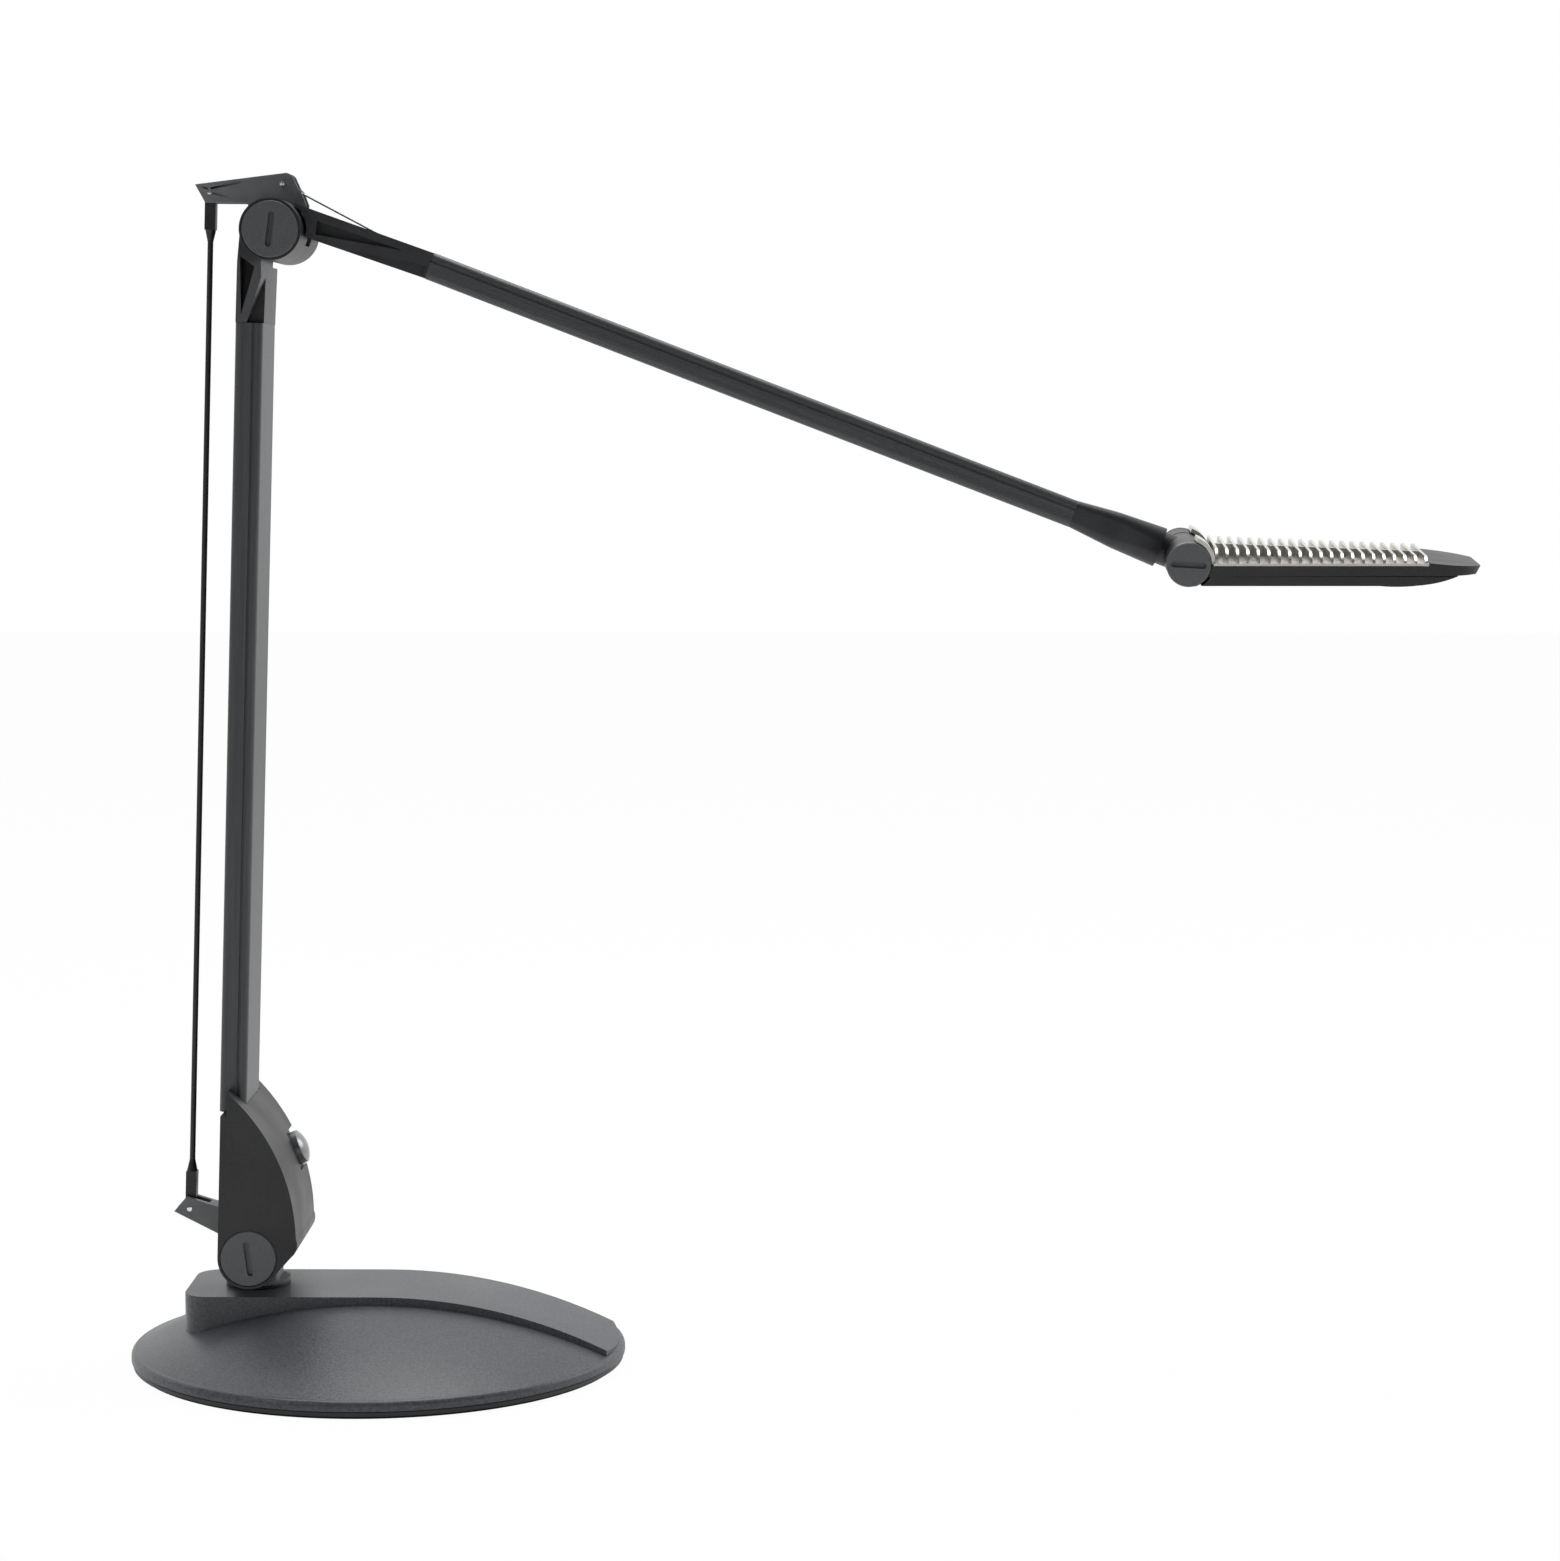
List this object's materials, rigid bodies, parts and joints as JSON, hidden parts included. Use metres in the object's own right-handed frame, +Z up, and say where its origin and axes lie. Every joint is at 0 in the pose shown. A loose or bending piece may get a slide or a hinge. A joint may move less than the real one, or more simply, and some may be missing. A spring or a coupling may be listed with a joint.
{
  "type": "desk lamp",
  "caption": "Spring-balanced two-arm desk lamp on a weighted round base, with a parallel rod, tension knobs and a finned LED head.",
  "frame": {"origin": "middle of the base's underside, on the table", "axes": "+Z up, +X from the arm's foot towards the light head, tension knobs face -Y"},
  "size_m": [0.6219, 0.23, 0.5507],
  "materials": {
    "rubber_pad": "matt",
    "zinc_steel": "satin",
    "ballast": "rough",
    "base_paint": "fine texture",
    "bright_steel": "bright",
    "nylon": "matt",
    "bracket_steel": "satin",
    "casing_plastic": "satin",
    "arm_paint": "satin",
    "cast_black": "satin",
    "inner_casting": "as cast",
    "spring_steel": "oiled",
    "knob_plastic": "satin",
    "silver_button": "silver",
    "circuit": "board",
    "sink_aluminium": "anodised",
    "head_plastic": "satin",
    "emitter": "clear",
    "opal": "opal"
  },
  "bodies": {
    "base": {"base_pad": "rubber_pad", "base_plate": "zinc_steel", "base_weight": "ballast", "base_screws": "zinc_steel", "base_cover": "base_paint", "swivel_bush": "nylon"},
    "hinge_bracket": {"hinge_bracket": "bracket_steel", "swivel_nut": "zinc_steel", "lever_pin": "bright_steel"},
    "lower_arm": {"arm_fork": "inner_casting", "casing_near": "casing_plastic", "casing_far": "casing_plastic", "casing_screws": "zinc_steel", "hinge_bolt": "zinc_steel", "hinge_cap": "knob_plastic", "balance_springs": "spring_steel", "driver_board": "circuit", "power_inlet": "nylon", "switch_body": "nylon", "lower_tube": "arm_paint", "elbow_lower": "cast_black", "elbow_bolt": "zinc_steel"},
    "link_rod": {"link_rod": "bracket_steel"},
    "bell_crank": {"bell_crank": "bracket_steel", "crank_pins": "bright_steel"},
    "upper_arm": {"elbow_upper": "cast_black", "elbow_cap": "knob_plastic", "upper_tube": "arm_paint", "spring_anchor": "zinc_steel", "arm_spring": "spring_steel", "balance_wire": "spring_steel", "arm_cuff": "cast_black", "neck_screw": "zinc_steel"},
    "neck": {"neck": "cast_black"},
    "head": {"head_frame": "head_plastic", "heat_sink": "sink_aluminium", "led_board": "circuit", "led_emitters": "emitter", "head_bezel": "head_plastic", "diffuser": "opal", "head_screws": "zinc_steel", "head_bolt": "zinc_steel", "head_cap": "knob_plastic"},
    "power_button": {"power_button": "silver_button"},
    "hinge_knob": {"hinge_knob": "knob_plastic"},
    "elbow_knob": {"elbow_knob": "knob_plastic"},
    "head_knob": {"head_knob": "knob_plastic"}
  },
  "joints": [
    {"name": "base_swivel", "type": "hinge", "parent": "base", "child": "hinge_bracket", "pos_m": [-0.0565, 0, 0.036], "axis": [0, 0, 1], "range_deg": [-90, 90]},
    {"name": "lower_arm_tilt", "type": "hinge", "parent": "hinge_bracket", "child": "lower_arm", "pos_m": [-0.0565, 0, 0.0545], "axis": [0, 1, 0], "range_deg": [-25, 45]},
    {"name": "link_swing", "type": "hinge", "parent": "hinge_bracket", "child": "link_rod", "pos_m": [-0.0875, 0, 0.0724], "axis": [0, 1, 0], "range_deg": [-25, 45]},
    {"name": "crank_level", "type": "hinge", "parent": "lower_arm", "child": "bell_crank", "pos_m": [-0.04092, 0, 0.52424], "axis": [0, 1, 0], "range_deg": [-45, 25]},
    {"name": "elbow", "type": "hinge", "parent": "bell_crank", "child": "upper_arm", "pos_m": [-0.04092, 0, 0.52424], "axis": [0, 1, 0], "range_deg": [-60, 40], "deforming": ["balance_wire"]},
    {"name": "head_roll", "type": "hinge", "parent": "upper_arm", "child": "neck", "pos_m": [0.37351, 0, 0.37608], "axis": [0.9336, 0, -0.3584], "range_deg": [-90, 80]},
    {"name": "head_tilt", "type": "hinge", "parent": "neck", "child": "head", "pos_m": [0.37351, 0, 0.37608], "axis": [0.0281, 0.9969, 0.0732], "range_deg": [-45, 80]},
    {"name": "power_press", "type": "slide", "parent": "lower_arm", "child": "power_button", "axis": [-0.9252, 0, -0.3795], "range_m": [0, 0.0012], "stiffness_N_per_m": 400, "springref_m": -0.0008},
    {"name": "hinge_tension", "type": "hinge", "parent": "lower_arm", "child": "hinge_knob", "pos_m": [-0.0565, -0.03, 0.0545], "axis": [0, 1, 0], "range_deg": [-45, 45]},
    {"name": "elbow_tension", "type": "hinge", "parent": "lower_arm", "child": "elbow_knob", "pos_m": [-0.04092, -0.03, 0.52424], "axis": [0, 1, 0], "range_deg": [-45, 45]},
    {"name": "head_tension", "type": "hinge", "parent": "head", "child": "head_knob", "pos_m": [0.37351, 0, 0.37608], "axis": [0.0281, 0.9969, 0.0732], "range_deg": [-45, 45]}
  ],
  "couplings": [
    {"joint": "link_swing", "follows": "lower_arm_tilt", "ratio": 1},
    {"joint": "crank_level", "follows": "lower_arm_tilt", "ratio": -1}
  ]
}
